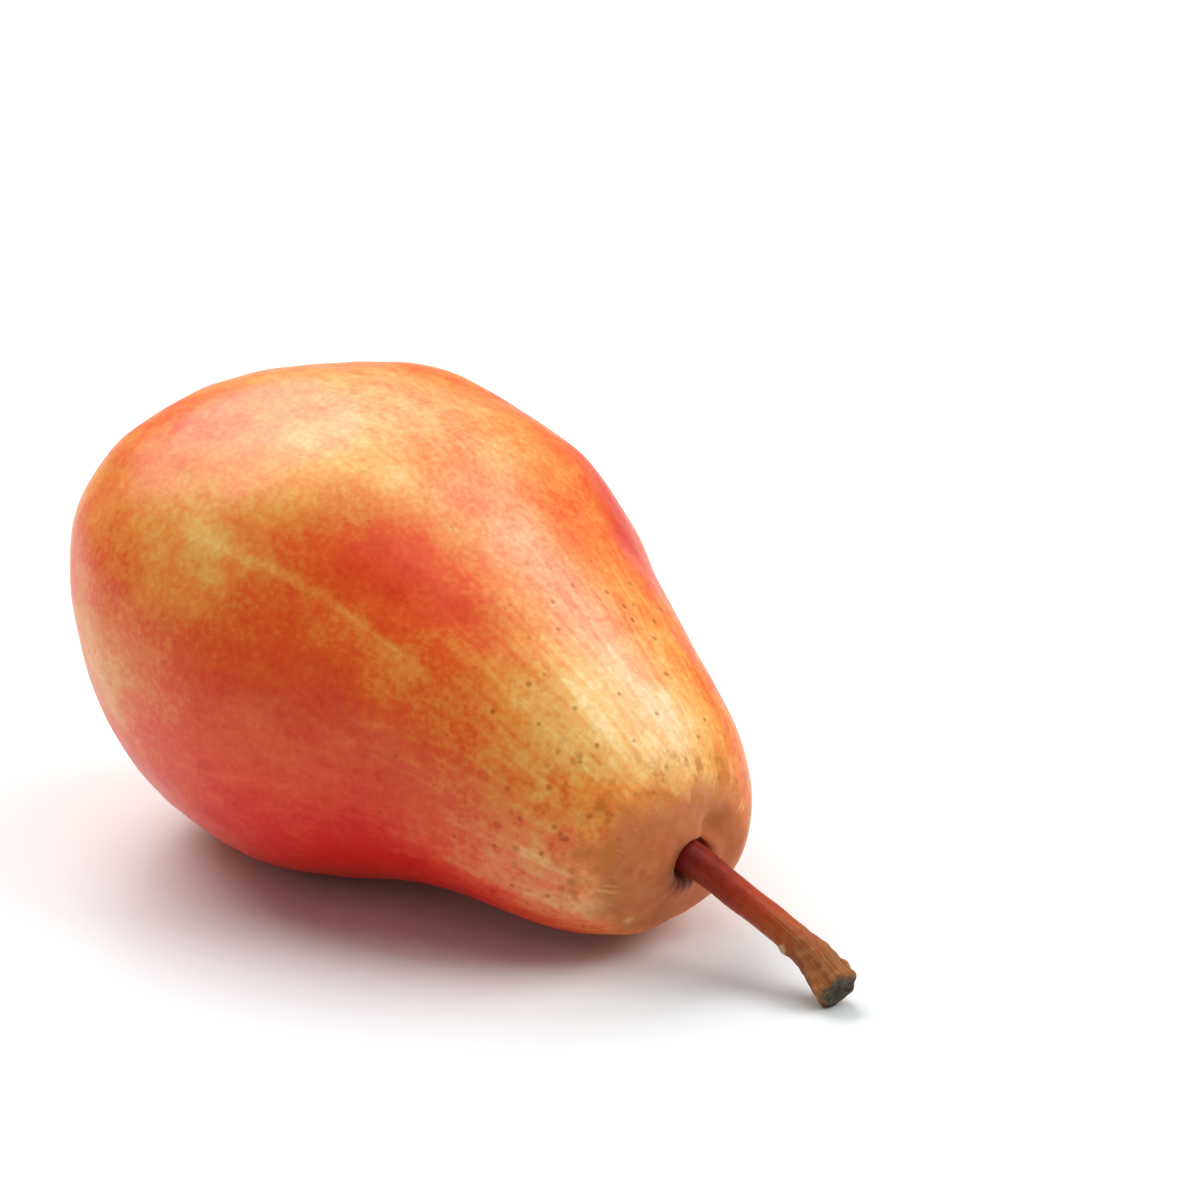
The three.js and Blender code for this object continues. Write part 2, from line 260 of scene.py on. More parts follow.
def mesh_piece(name, points, faces, material, attributes=None):
    """A mesh from points in millimetres, with its material and its attributes for it."""
    mesh = bpy.data.meshes.new(name)
    mesh.from_pydata((np.asarray(points) * MM).tolist(), [], faces)
    mesh.validate()
    mesh.shade_smooth()
    for key, values in (attributes or {}).items():
        values = np.asarray(values, np.float32)
        is_vector = values.ndim == 2
        made = mesh.attributes.new(key, "FLOAT_VECTOR" if is_vector else "FLOAT", "POINT")
        made.data.foreach_set("vector" if is_vector else "value", values.ravel())
    mesh.materials.append(material)
    piece = bpy.data.objects.new(name, mesh)
    bpy.context.scene.collection.objects.link(piece)
    return piece


def normals_of(points, faces):
    """The outward direction at each vertex."""
    mesh = bpy.data.meshes.new("for_normals")
    mesh.from_pydata(points.tolist(), [], faces)
    found = np.zeros(len(points) * 3, np.float32)
    mesh.vertices.foreach_get("normal", found)
    bpy.data.meshes.remove(mesh)
    return found.reshape(-1, 3).astype(float)


def lobes(forms, angle):
    return sum(height * np.cos(np.radians(count * (angle - peak))) for count, height, peak in forms)


def near_crown(station):
    """How far a station belongs to the end face, from 0 to 1."""
    return fade((station / FRUIT_LENGTH - CROWN_FROM) / CROWN_FADE)


def ring_bump(form, radius, angle):
    """A rise or fall of the end face, centred at one angle and one distance from the axis."""
    around = bell(angle_between(angle, form["angle"]), form["spread"])
    return form["height"] * around * bell(radius - form["radius"], form["width"])


def crown_relief(station, radius, angle):
    rise = ring_bump(CROWN_LOBE, radius, angle) + ring_bump(CROWN_CREASE, radius, angle)
    folds = np.cos(np.radians(CAVITY_WRINKLE_COUNT * angle))
    wrinkles = ring_bump(CAVITY_WRINKLES, radius, angle) * folds
    return near_crown(station) * (rise + wrinkles)


def basin_relief(station, radius, angle):
    """Soft furrows that run into the basin, as an offset along the fruit."""
    form = BASIN_FURROWS
    rise = form["height"] * bell(radius - form["radius"], form["width"])
    folds = np.cos(np.radians(form["count"] * (angle - form["peak"])))
    return (station < BELLY_STATION) * rise * folds


def fruit_outline(count):
    """Station and radius from the basin floor round to the cavity floor."""
    power = 2 / BASE_ROUNDNESS
    turns = np.radians(BASE_ANGLES)
    base_stations = BELLY_STATION - BASE_DEPTH * np.cos(turns) ** power
    base_radii = BELLY_RADIUS * np.sin(turns) ** power
    points = [(BASIN_FLOOR, 0), *zip(base_stations, base_radii), (BELLY_STATION, BELLY_RADIUS)]
    return smooth_curve([*points, *NECK_PROFILE.values()], count)


def lay_down(station, side, up):
    """From the fruit's own axis to the lying fruit."""
    along = station - BELLY_STATION
    tilt = math.radians(FRUIT_TILT)
    x = along * math.cos(tilt) + up * math.sin(tilt)
    z = up * math.cos(tilt) - along * math.sin(tilt)
    return np.stack(np.broadcast_arrays(x, side, z), -1)


def skin_points(station, radius, angle):
    """Points of the lying fruit, from places on its turned outline."""
    near_base = fade(1 - station / (BASE_LOBES_REACH * FRUIT_LENGTH))
    swell = 1 + lobes(BODY_LOBES, angle) + near_base * lobes(BASE_LOBES, angle)
    beyond = np.maximum(station / FRUIT_LENGTH - NECK_BEND_FROM, 0) / (1 - NECK_BEND_FROM)
    side = radius * swell * np.sin(np.radians(angle)) + NECK_BEND_SIDEWAYS * beyond**2
    up = radius * swell * np.cos(np.radians(angle)) - NECK_BEND_DOWN * beyond**2
    in_cavity = near_crown(station) * fade((CAVITY_SHIFT["reach"] - radius) / CAVITY_SHIFT["fade"])
    side = side + in_cavity * CAVITY_SHIFT["side"]
    up = up + in_cavity * CAVITY_SHIFT["up"]
    relief = crown_relief(station, radius, angle) + basin_relief(station, radius, angle)
    return lay_down(station + relief, side, up)


def frame_shift(points):
    """What moves the fruit from its own axis into the frame, with its flat spot on the surface."""
    low, high = (np.array(corner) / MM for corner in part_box("fruit"))
    shift = (low + high - points.min(0) - points.max(0)) / 2
    shift[2] = -points[:, 2].min() - REST_FLAT_DEPTH
    return shift


def hex_colour(text):
    """Linear colour from the usual six digits."""
    values = [int(text[i:i + 2], 16) / 255 for i in (1, 3, 5)]
    linear = [v / 12.92 if v <= 0.04045 else ((v + 0.055) / 1.055) ** 2.4 for v in values]
    return (*linear, 1)


# Places of the Mix node's sockets when it mixes two colours
MIX_FACTOR = 0
MIX_COLOURS = (6, 7)
MIX_RESULT = 2


class Shader:
    """A material's node tree, with short ways to add to it."""

    def __init__(self, name):
        self.material = bpy.data.materials.new(name)
        self.material.use_nodes = True
        self.tree = self.material.node_tree
        self.surface = self.tree.nodes["Principled BSDF"]

    def node(self, kind, inputs=None, **settings):
        made = self.tree.nodes.new("ShaderNode" + kind)
        for name, value in settings.items():
            setattr(made, name, value)
        for name, value in (inputs or {}).items():
            self.feed(made.inputs[name], value)
        return made

    def feed(self, socket, value):
        if isinstance(value, bpy.types.NodeSocket):
            self.tree.links.new(value, socket)
        else:
            socket.default_value = value

    def number(self, name):
        return self.node("Attribute", attribute_name=name).outputs["Fac"]

    def vector(self, name):
        return self.node("Attribute", attribute_name=name).outputs["Vector"]

    def place(self):
        return self.node("TexCoord").outputs["Object"]

    def math(self, operation, *values, clamp=False):
        made = self.node("Math", operation=operation, use_clamp=clamp)
        for socket, value in zip(made.inputs, values):
            self.feed(socket, value)
        return made.outputs[0]

    def sum(self, *values):
        total = values[0]
        for value in values[1:]:
            total = self.math("ADD", total, value)
        return total

    def ramp(self, value, low, high, start=0.0, end=1.0):
        """A soft step from start to end while the value goes from low to high."""
        inputs = {"Value": value, "From Min": low, "From Max": high, "To Min": start, "To Max": end}
        return self.node("MapRange", inputs, interpolation_type="SMOOTHSTEP").outputs[0]

    def scaled(self, vector, scale):
        return self.node("Mapping", {"Vector": vector, "Scale": scale}).outputs[0]

    def noise(self, vector, size, detail=2.0, roughness=0.5, amount=1.0, warp=0.0):
        """Noise about zero, with features of the given size in millimetres."""
        inputs = {
            "Vector": vector,
            "Scale": 1 / (size * MM),
            "Detail": detail,
            "Roughness": roughness,
            "Distortion": warp,
        }
        grain = self.node("TexNoise", inputs).outputs["Fac"]
        return self.math("MULTIPLY", self.math("SUBTRACT", grain, 0.5), amount)

    def mix(self, factor, first, second, blend="MIX"):
        made = self.node("Mix", data_type="RGBA", blend_type=blend)
        self.feed(made.inputs[MIX_FACTOR], factor)
        for place, value in zip(MIX_COLOURS, (first, second)):
            colour = hex_colour(value) if isinstance(value, str) else value
            self.feed(made.inputs[place], colour)
        return made.outputs[MIX_RESULT]

    def colours(self, value, stops):
        """A colour ramp from (place, colour) stops."""
        made = self.node("ValToRGB", {"Fac": value})
        ramp = made.color_ramp
        while len(ramp.elements) < len(stops):
            ramp.elements.new(0.5)
        for element, (place, colour) in zip(ramp.elements, stops):
            element.position = place
            element.color = hex_colour(colour)
        return made.outputs[0]

    def bump(self, height, distance):
        inputs = {"Height": height, "Distance": distance * MM, "Strength": 1.0}
        return self.node("Bump", inputs).outputs[0]

    def finish(self, **values):
        """Sets or feeds the shader's own sockets, and returns the material."""
        for name, value in values.items():
            socket = name.replace("_", " ").title().replace("Ior", "IOR")
            self.feed(self.surface.inputs[socket], value)
        return self.material


# Where the skin carries more or less red: station, angle, their spreads, amount
BLUSH_BASE = 0.56
BLUSH_PATCHES = {
    "belly": (57, -40, 11, 15, 0.28),
    "lower_belly": (53, -78, 12, 13, 0.22),
    "left_low": (30, -97, 9, 13, -0.26),
    "left_edge": (28, -72, 7, 11, 0.11),
    "lower_flank": (66, -95, 16, 26, 0.10),
    "under_neck": (78, -108, 9, 15, -0.18),
    "mid_neck": (70, -40, 7, 12, 0.10),
    "underside": (62, -128, 36, 30, 0.46),
    # Redder far rim: partly blush, partly a painted red reflection that damps the rim's light
    "far_flank_red_and_painted_reflection": (56, 56, 13, 12, 0.36),
    "far_side": (50, 130, 34, 44, 0.34),
    "far_gold": (38, 118, 12, 18, -0.30),
    "far_red": (60, 96, 9, 13, 0.14),
    "far_neck": (85, 112, 9, 28, -0.34),
    "base": (6, 150, 7, 70, -0.16),
    # Paler peach ground on top, partly a painted highlight
    "top": (37, -10, 14, 22, -0.21),
    "top_left": (24, -30, 8, 14, 0.12),
    # Painted highlight: paler ground where the highlight on the belly reaches down
    "below_top_painted_highlight": (51, -20, 8, 9, -0.27),
    "gold_edge": (47, -37, 8, 10, -0.25),
    # Pale flank, partly a painted highlight along the neck
    "pale_flank_and_painted_highlight": (68, -8, 10, 16, -0.12),
    "red_flank": (62, 22, 8, 12, 0.22),
    "right_side": (62, 16, 26, 26, -0.22),
    "golden_side": (36, -58, 14, 16, -0.20),
    # Yellow neck, paler where its highlight falls: partly a painted highlight
    "neck": (86, -12, 8, 28, -0.39),
    "neck_left": (77, -44, 6, 10, -0.18),
    "neck_front": (82, -50, 8, 30, -0.14),
    "neck_edge": (89, 25, 9, 26, -0.18),
    "streaked_neck": (86, -108, 8, 26, -0.22),
    "under_crown": (92, -128, 6, 34, -0.28),
}
# Where the red leans to pink, given in the same way
ROSE_BASE = 0.10
ROSE_PATCHES = {
    "underside": (60, -122, 40, 28, 0.60),
    "lower_belly": (38, -96, 12, 14, 0.45),
    "far_side": (50, 150, 40, 40, 0.30),
    # Pinkish-cream flank, partly a painted highlight along the neck
    "pale_flank_and_painted_highlight": (66, 0, 14, 20, 0.75),
    "streaked_neck": (86, -108, 10, 26, 0.30),
    "neck_side": (82, 6, 9, 16, 0.45),
    # Pink on top, partly a painted highlight
    "top": (40, 2, 15, 30, 0.50),
}
# How far from the axis the end face is russet, its cavity darkened with painted shade and the basin
# netted with russet
CROWN_RUSSET = {"radius": 14.8, "fade": 8, "wider": 2.0, "angle": -75, "spread": 45}
CAVITY_SHADE = {"radius": 6.0, "fade": 3.2, "light_angle": 55, "spread": 75}
BASIN_RUSSET = {"radius": 12, "fade": 9}
NECK_PART = {"from": 0.62, "fade": 0.2}
# The brown-flecked part of the neck, towards the crown
FRECKLE_PATCHES = {"crown_side": (87, -72, 7, 34, 1)}
LIGHT_LINE = {"from": 32, "to": 74, "fade": 14, "angle": -57, "spread": 1.2}
LIGHT_LINE_WANDER = {"angle": 1.5, "length": 7}

# Skin colours by the density of red, from bare to full, in a yellow and in a pink kind of skin
ORANGE_SKIN = (
    (0.0, "#ffe0a0"), (0.2, "#f6c266"), (0.42, "#f2983a"), (0.66, "#ec6016"), (1.0, "#da1e02"),
)
PINK_SKIN = (
    (0.0, "#ffdcb8"), (0.2, "#f8b890"), (0.42, "#f48a64"), (0.66, "#f04e38"), (1.0, "#de120c"),
)
LIGHT_LINE_DENSITY = -0.17
# The end face: mottled russet, browner blotches and pale flecks at its edge, and painted shade in the
# cavity
CROWN_TONES = ((0.0, "#aa5628"), (0.5, "#b96436"), (1.0, "#cc7c4c"))
CROWN_COVER = 0.88
CROWN_BLOTCHES = "#c8701e"
CROWN_FLECKS = "#f0bc74"
# Painted shade: the dark brown laid into the cavity round the stem
CAVITY_PAINTED_SHADE_COLOUR = "#4c2012"
BASIN_COLOUR = "#b0762e"
# These darken the skin below them: they are multiplied with its colour
PORE_TINT = "#be9c74"
BROWNED_TINT = "#f0bc84"
FRECKLE_TINT = "#d69c62"
# Spacing and size of the pores and of the freckles by the crown
PORES = {"spacing": 2.8, "size": 0.8}
FRECKLES = {"spacing": 2.3, "size": 1.15}
# Scale of the streaks' noise: on two axes across the fruit, then along it
STREAK_SCALE = (0.011, 0.011, 0.008)
SKIN_RELIEF_DEPTH = 0.05
SKIN_SURFACE = {
    "specular_ior_level": 0.32,
    "subsurface_weight": 0.15,
    "subsurface_radius": (0.004, 0.0015, 0.0008),
    "subsurface_scale": 1.0,
}


def patch_sum(patches, station, angle):
    """The soft patches added up at each place on the skin."""
    total = 0
    for at, turn, length, spread, amount in patches.values():
        total = total + amount * bell(station - at, length) * bell(angle_between(angle, turn), spread)
    return total


def light_line(station, angle):
    """A thin pale line along the belly."""
    starts = fade((station - LIGHT_LINE["from"]) / LIGHT_LINE["fade"])
    ends = fade((LIGHT_LINE["to"] - station) / LIGHT_LINE["fade"])
    wander = LIGHT_LINE_WANDER["angle"] * np.sin(station / LIGHT_LINE_WANDER["length"])
    across = bell(angle_between(angle, LIGHT_LINE["angle"] + wander), LIGHT_LINE["spread"])
    return starts * ends * across


def russet_share(radius, angle):
    """How far the end face is russet, which reaches further on one side."""
    around = bell(angle_between(angle, CROWN_RUSSET["angle"]), CROWN_RUSSET["spread"])
    reach = CROWN_RUSSET["radius"] + CROWN_RUSSET["wider"] * around
    return fade((reach - radius) / CROWN_RUSSET["fade"])


def cavity_painted_shade_share(radius, angle):
    """How far the cavity carries painted shade, which it doesn't on the side that faces the light."""
    lit = bell(angle_between(angle, CAVITY_SHADE["light_angle"]), CAVITY_SHADE["spread"])
    return (1 - lit) * fade((CAVITY_SHADE["radius"] - radius) / CAVITY_SHADE["fade"])


def skin_attributes(station, radius, angle):
    """What the skin's material reads at each point: place on the fruit, reds, russet, neck."""
    turn = np.radians(angle)
    share = station / FRUIT_LENGTH
    end_face = near_crown(station)
    basin = fade((BASIN_RUSSET["radius"] - radius) / BASIN_RUSSET["fade"])
    return {
        "skin_place": np.stack([np.cos(turn), np.sin(turn), share], -1),
        "blush": BLUSH_BASE + patch_sum(BLUSH_PATCHES, station, angle),
        "rose": ROSE_BASE + patch_sum(ROSE_PATCHES, station, angle),
        "russet": end_face * russet_share(radius, angle),
        # Where painted shade darkens the cavity round the stem
        "cavity": end_face * cavity_painted_shade_share(radius, angle),
        "basin": (station < BELLY_STATION) * basin,
        "neck": fade((share - NECK_PART["from"]) / NECK_PART["fade"]),
        "freckles": patch_sum(FRECKLE_PATCHES, station, angle),
        "light_line": light_line(station, angle),
    }


def skin_ground(shader, place, streaks):
    """The skin between yellow and red: the layout is broken up by mottles of several sizes."""
    fine = shader.noise(place, size=0.8, detail=3, roughness=0.6, amount=0.42)
    coarse = shader.noise(place, size=3.6, detail=4, roughness=0.65, amount=0.44)
    broad = shader.noise(place, size=11, detail=2, amount=0.36)
    pale = shader.math("MULTIPLY", shader.number("light_line"), LIGHT_LINE_DENSITY)
    density = shader.sum(shader.number("blush"), fine, coarse, broad, streaks, pale)
    orange = shader.colours(density, ORANGE_SKIN)
    pink = shader.colours(density, PINK_SKIN)
    uneven = shader.math("MULTIPLY", coarse, 0.6)
    tint = shader.math("ADD", shader.number("rose"), uneven, clamp=True)
    return shader.mix(tint, orange, pink)


def crown_colour(shader, place, streaks, colour):
    """Salmon-brown russet on the end face, blotched and flecked at its edge, with painted shade in
    the cavity.
    """
    russet = shader.number("russet")
    patches = shader.noise(place, size=5, detail=3, roughness=0.5, amount=1.3)
    covered = shader.ramp(shader.math("ADD", russet, patches), 0.1, 1.0)
    mottles = shader.noise(place, size=1.6, detail=3, amount=1.2)
    tone = shader.colours(shader.sum(0.5, mottles), CROWN_TONES)
    colour = shader.mix(shader.math("MULTIPLY", covered, CROWN_COVER), colour, tone)
    edge = shader.math("MULTIPLY", russet, shader.math("SUBTRACT", 1.0, russet))
    blotches = shader.ramp(shader.noise(place, size=3.4, detail=4, roughness=0.6), -0.04, 0.14)
    browned = shader.math("MULTIPLY", blotches, shader.ramp(edge, 0.02, 0.2, 0.0, 0.8))
    colour = shader.mix(browned, colour, CROWN_BLOTCHES)
    pieces = shader.sum(streaks, shader.noise(place, size=2.6, detail=2, amount=0.5))
    at_edge = shader.ramp(edge, 0.04, 0.2, 0.0, 0.8)
    flecks = shader.math("MULTIPLY", shader.ramp(pieces, 0.03, 0.2), at_edge)
    colour = shader.mix(flecks, colour, CROWN_FLECKS)
    creases = shader.noise(place, size=0.9, detail=4, amount=0.8)
    # Painted shade in the cavity, broken up by fine creases
    shade = shader.ramp(shader.sum(shader.number("cavity"), creases), 0.05, 1.3, 0.0, 0.8)
    return shader.mix(shade, colour, CAVITY_PAINTED_SHADE_COLOUR)


def basin_colour(shader, place, colour):
    """A fine net of golden russet round the calyx."""
    net = shader.noise(place, size=1.4, detail=5, roughness=0.7, amount=2.4)
    covered = shader.ramp(shader.math("ADD", shader.number("basin"), net), 0.25, 0.95, 0.0, 0.8)
    return shader.mix(covered, colour, BASIN_COLOUR)


def pores(shader, place, form, amount):
    """Round specks of uneven size, about the given size and spacing in millimetres."""
    spacing = form["spacing"]
    share = form["size"] / spacing
    cells = shader.node("TexVoronoi", {"Vector": place, "Scale": 1 / (spacing * MM)})
    uneven = shader.noise(place, size=2 * spacing, amount=0.5 * share)
    distance = shader.math("ADD", cells.outputs["Distance"], uneven)
    inside = shader.ramp(distance, 0.6 * share, 0.2 * share)
    return shader.math("MULTIPLY", inside, amount)


def specks(shader, place, colour):
    """Small pores, clear on the neck and faint on the belly, and brown freckles by the crown."""
    bare = shader.math("SUBTRACT", 1.0, shader.number("russet"))
    clear = shader.ramp(shader.number("neck"), 0.0, 1.0, 0.2, 0.8)
    dots = pores(shader, place, PORES, shader.math("MULTIPLY", clear, bare))
    colour = shader.mix(dots, colour, PORE_TINT, blend="MULTIPLY")
    blotches = shader.ramp(shader.noise(place, size=2.6, detail=3, roughness=0.6), 0.0, 0.2)
    browned = shader.math("MULTIPLY", blotches, shader.number("freckles"))
    colour = shader.mix(browned, colour, BROWNED_TINT, blend="MULTIPLY")
    freckles = pores(shader, place, FRECKLES, shader.number("freckles"))
    return shader.mix(freckles, colour, FRECKLE_TINT, blend="MULTIPLY"), dots


def skin_streaks(shader, russet):
    """Streaks along the fruit: their plain noise, and what they add to the red of the skin."""
    around = shader.scaled(shader.vector("skin_place"), STREAK_SCALE)
    grain = shader.noise(around, size=1.0, detail=2, roughness=0.45, warp=1.2, amount=0.36)
    bare_neck = shader.math("SUBTRACT", shader.number("neck"), russet)
    streaked = shader.ramp(bare_neck, 0.0, 1.0, 0.4, 1.2)
    return grain, shader.math("MULTIPLY", grain, streaked)


def skin_material():
    shader = Shader("pear_skin")
    place = shader.place()
    russet = shader.number("russet")
    grain, streaks = skin_streaks(shader, russet)
    colour = skin_ground(shader, place, streaks)
    colour = basin_colour(shader, place, colour)
    colour = crown_colour(shader, place, grain, colour)
    colour, dots = specks(shader, place, colour)
    peel = shader.noise(place, size=0.6, detail=2, amount=0.5)
    swells = shader.noise(place, size=3.5, detail=1, amount=2.0)
    relief = shader.sum(peel, swells, shader.math("MULTIPLY", dots, -0.5))
    gloss = shader.sum(russet, shader.noise(place, size=2.5, detail=3, amount=0.7))
    roughness = shader.ramp(gloss, -0.3, 1.2, 0.34, 0.56)
    normal = shader.bump(relief, SKIN_RELIEF_DEPTH)
    return shader.finish(base_color=colour, roughness=roughness, normal=normal, **SKIN_SURFACE)


def spun(rows, columns):
    """Row and angle of each vertex of a spun form: first pole, rings, last pole."""
    row = np.concatenate([[0], np.repeat(np.arange(1, rows + 1), columns), [rows + 1]])
    angle = np.concatenate([[0], np.tile(np.arange(columns) * 360 / columns, rows), [0]])
    return row, angle


def fruit_piece():
    row, angle = spun(FRUIT_ROWS, FRUIT_COLUMNS)
    station, radius = fruit_outline(FRUIT_ROWS + 2)[row].T
    radius[[0, -1]] = 0
    points = skin_points(station, radius, angle)
    shift = frame_shift(points)
    points += shift
    faces = spin_faces(FRUIT_ROWS, FRUIT_COLUMNS)
    points += normals_of(points, faces) * ripples(points, SKIN_UNEVENNESS, SEED)[:, None]
    points[:, 2] = np.maximum(points[:, 2], 0)
    attributes = skin_attributes(station, radius, angle)
    piece = mesh_piece("pear_skin", points, faces, skin_material(), attributes)
    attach(piece, "root")
    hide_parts("fruit")
    return shift


def scar_height(along, angle):
    across = bell(angle_between(angle, STEM_SCAR["angle"]), STEM_SCAR["spread"])
    return STEM_SCAR["height"] * bell(along - STEM_SCAR["along"], STEM_SCAR["length"]) * across


def woody_share(along):
    """How far the stem's bark is woody, from the smooth part to the cut end."""
    return fade((along - STEM_RIDGES["from"]) / STEM_RIDGES["fade"])


def stem_radius(along, angle):
    root = (STEM_ROOT["radius"] - STEM_RADIUS) * fade(1 - along / STEM_ROOT["reach"])
    past_waist = np.maximum(along - STEM_FLARE["from"], 0) / (1 - STEM_FLARE["from"])
    flare = (STEM_FLARE["radius"] - STEM_RADIUS) * past_waist ** STEM_FLARE["curve"]
    rough = STEM_RIDGES["least"] + (1 - STEM_RIDGES["least"]) * woody_share(along)
    turn = np.radians(STEM_RIDGES["count"] * (angle - STEM_RIDGES["peak"]))
    ridges = STEM_RIDGES["height"] * np.cos(turn)
    bark = STEM_RADIUS + root + flare + ridges * rough * (1 + flare) + scar_height(along, angle)
    past_edge = np.maximum(along - STEM_EDGE["from"], 0) / (1 - STEM_EDGE["from"])
    return bark * (1 - (1 - STEM_EDGE["remains"]) * (1 - np.sqrt(1 - past_edge**2)))


def bark_relief(points, along):
    """How far the bark stands out or sinks in: smooth near the fruit, knobbly near the cut end."""
    knobs = ripples(points, BARK_KNOBS, SEED + 2)
    height, size = BARK_SWELL
    return knobs * woody_share(along) + height * ripple(points, size, SEED + 4)


# Stem colours along its length, darkest at the root as painted shade where it sinks into the cavity,
# and those of its cut face
STEM_TONES = (
    (0.0, "#5a0f08"), (0.25, "#94220a"), (0.5, "#b03c12"), (0.72, "#ae5520"), (1.0, "#b47440"),
)
STEM_SPLIT_COLOUR = "#4e2410"
STEM_SCAR_COLOUR = "#c9a67c"
CUT_FACE_TONES = ((0.0, "#342a20"), (0.5, "#5c5040"), (1.0, "#8a7c62"))
CUT_FACE_EDGE = 0.6
# Scale of the fibres' noise: on two axes across the stem, then along it
STEM_FIBRE_SCALE = (0.02, 0.02, 0.004)
STEM_RELIEF_DEPTH = 0.45
STEM_SPECULAR = 0.3


def bark_colour(shader, along, fibres, blotches):
    """Red-brown bark, darkest at its root as painted shade, paler and split towards the cut end, with
    a pale scar.
    """
    uneven = shader.ramp(along, 0.4, 0.9, 0.4, 0.8)
    uneven = shader.math("MULTIPLY", shader.sum(fibres, blotches), uneven)
    colour = shader.colours(shader.math("ADD", along, uneven), STEM_TONES)
    woody = shader.ramp(along, 0.45, 0.85, 0.15, 0.75)
    split = shader.math("MULTIPLY", shader.ramp(fibres, -0.03, -0.15), woody)
    colour = shader.mix(split, colour, STEM_SPLIT_COLOUR)
    scar = shader.math("ADD", shader.number("scar"), shader.math("MULTIPLY", blotches, 0.5))
    return shader.mix(shader.ramp(scar, 0.45, 0.75), colour, STEM_SCAR_COLOUR)


def cut_face_colour(shader, place, blotches, colour):
    """The grey-brown end of the stem."""
    mottles = shader.noise(place, size=0.7, detail=4, amount=1.8)
    face = shader.colours(shader.sum(0.5, mottles), CUT_FACE_TONES)
    cut = shader.math("ADD", shader.number("cut_face"), shader.math("MULTIPLY", blotches, 0.8))
    return shader.mix(shader.ramp(cut, 0.25, 0.75), colour, face)


def stem_material():
    shader = Shader("pear_stem")
    place = shader.place()
    along = shader.number("along")
    lengthwise = shader.scaled(shader.vector("stem_place"), STEM_FIBRE_SCALE)
    fibres = shader.noise(lengthwise, size=1.0, detail=4)
    blotches = shader.noise(place, size=1.1, detail=3)
    colour = bark_colour(shader, along, fibres, blotches)
    colour = cut_face_colour(shader, place, blotches, colour)
    roughness = shader.ramp(along, 0.55, 0.95, 0.42, 0.75)
    woody = shader.math("ADD", shader.ramp(along, 0.62, 0.92), 0.12)
    cracks = shader.math("MULTIPLY", shader.sum(fibres, blotches), woody)
    return shader.finish(
        base_color=colour,
        roughness=roughness,
        normal=shader.bump(cracks, STEM_RELIEF_DEPTH),
        specular_ior_level=STEM_SPECULAR,
    )


def on_route(route, lengths, share):
    """Points at shares of the centre line's length; past its ends the line runs on smoothly."""
    inside = np.where(share > 1, 2 - share, np.abs(share))
    found = np.stack([np.interp(inside, lengths, line) for line in route.T], -1)
    found = np.where((share > 1)[:, None], 2 * route[-1] - found, found)
    return np.where((share < 0)[:, None], 2 * route[0] - found, found)


def stem_points(route, along, radius, angle):
    """Points at a radius and an angle round the centre line."""
    lengths = np.concatenate([[0], np.cumsum(np.linalg.norm(np.diff(route, axis=0), axis=1))])
    lengths /= lengths[-1]
    after = on_route(route, lengths, along + STEM_HEADING_STEP)
    before = on_route(route, lengths, along - STEM_HEADING_STEP)
    heading = after - before
    heading /= np.linalg.norm(heading, axis=1, keepdims=True)
    across = np.cross(heading, (0, 0, 1))
    across /= np.linalg.norm(across, axis=1, keepdims=True)
    lift = np.cross(across, heading)
    turn = np.radians(angle)
    aside = across * (radius * np.sin(turn))[:, None]
    up = lift * (radius * np.cos(turn))[:, None]
    return on_route(route, lengths, along) + aside + up


def stem_attributes(along, angle):
    """What the stem's material reads at each point: place on the stem, its scar, its cut face."""
    turn = np.radians(angle)
    edge = fade((along - STEM_EDGE["from"]) / (1 - STEM_EDGE["from"]))
    return {
        "along": along,
        "scar": scar_height(along, angle) / STEM_SCAR["height"],
        "cut_face": np.where(along < 1, CUT_FACE_EDGE * edge, 1),
        "stem_place": np.stack([np.cos(turn), np.sin(turn), along], -1),
    }


def stem_piece(shift):
    route = smooth_curve(STEM_ROUTE, STEM_ROUTE_POINTS) + (shift[0], shift[1], 0)
    row, angle = spun(STEM_ROWS + STEM_FACE_RINGS, STEM_COLUMNS)
    along = np.clip((row - 1) / (STEM_ROWS - 1), 0, 1)
    inward = np.clip((row - STEM_ROWS) / (STEM_FACE_RINGS + 1), 0, 1)
    inward[0] = 1
    radius = stem_radius(along, angle) * (1 - inward)
    points = stem_points(route, along, radius, angle)
    faces = spin_faces(STEM_ROWS + STEM_FACE_RINGS, STEM_COLUMNS)
    points += normals_of(points, faces) * bark_relief(points, along)[:, None]
    points[:, 2] = np.maximum(points[:, 2], 0)
    attributes = stem_attributes(along, angle)
    piece = mesh_piece("pear_stem", points, faces, stem_material(), attributes)
    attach(piece, "root")
    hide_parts("stem")


def round_calyx(rise, away, aside, turn):
    """From a height above the basin floor and a place round the calyx to the lying fruit."""
    side = away * np.sin(turn) - aside * np.cos(turn)
    up = away * np.cos(turn) + aside * np.sin(turn)
    return lay_down(BASIN_FLOOR - rise, side, up)


def spun_strand(rows, columns):
    """Place along a spun form, angle in radians, and a factor that closes it at its ends."""
    row, angle = spun(rows, columns)
    along = np.clip((row - 1) / (rows - 1), 0, 1)
    closing = np.where((row == 0) | (row == rows + 1), 0, 1)
    return along, np.radians(angle), closing


